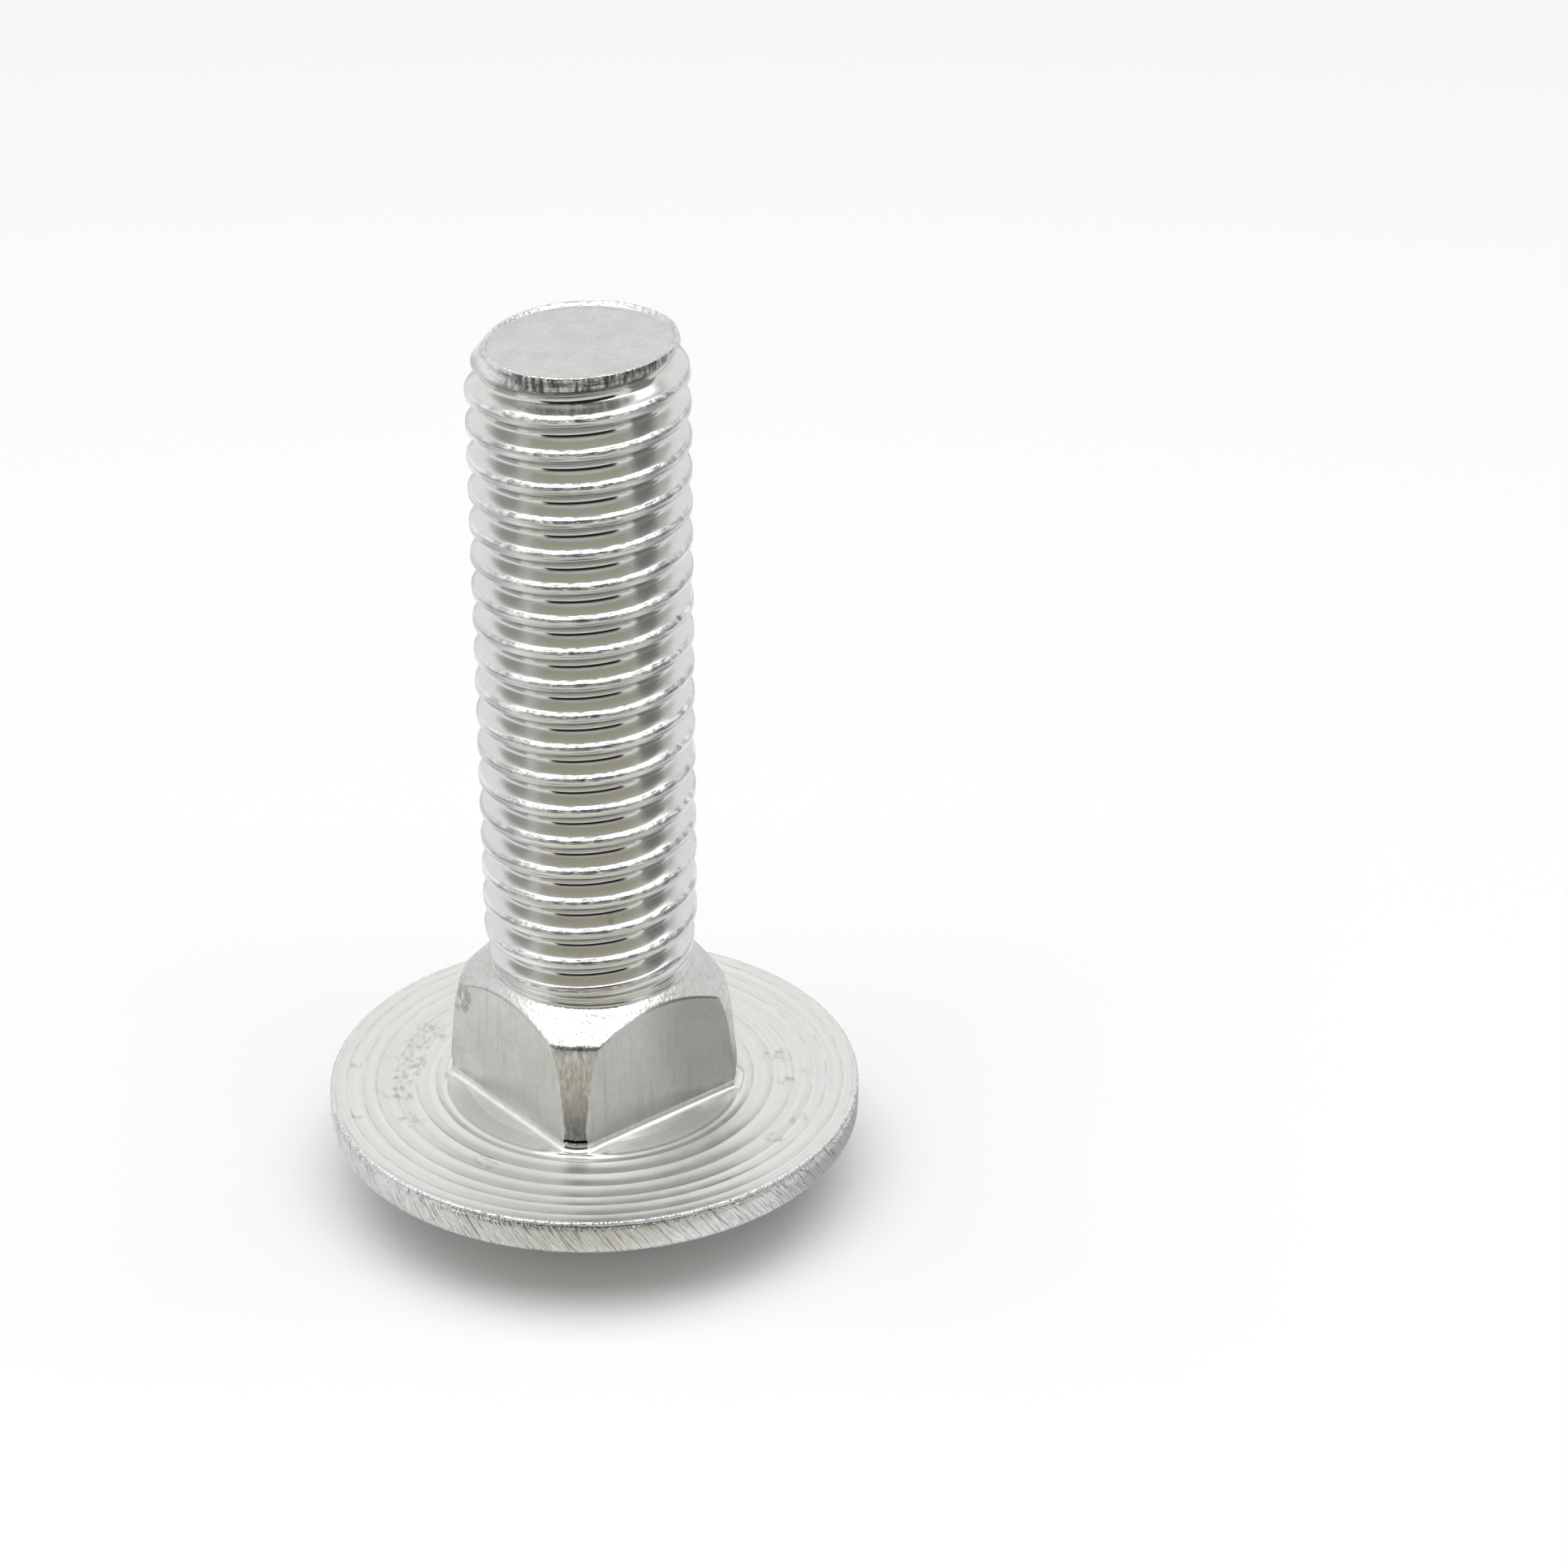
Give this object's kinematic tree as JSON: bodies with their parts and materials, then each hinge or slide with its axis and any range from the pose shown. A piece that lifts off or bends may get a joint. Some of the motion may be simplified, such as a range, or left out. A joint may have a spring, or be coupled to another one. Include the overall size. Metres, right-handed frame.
{
  "type": "carriage bolt",
  "caption": "Stainless steel bolt with a low domed head, a square neck under it and a right-hand thread from the neck to a blunt end.",
  "frame": {"origin": "the middle of the small flat on top of the domed head, which the bolt stands on, on its axis", "axes": "+Z along the shank from the head to the thread end; the flats of the square neck face +X, -X, +Y and -Y"},
  "size_m": [0.0198, 0.0198, 0.0338],
  "materials": {
    "bolt_steel": "bare stainless steel: satin from forming, with bright rolled crests"
  },
  "bodies": {
    "root": {"carriage_bolt": "bolt_steel"}
  },
  "joints": []
}
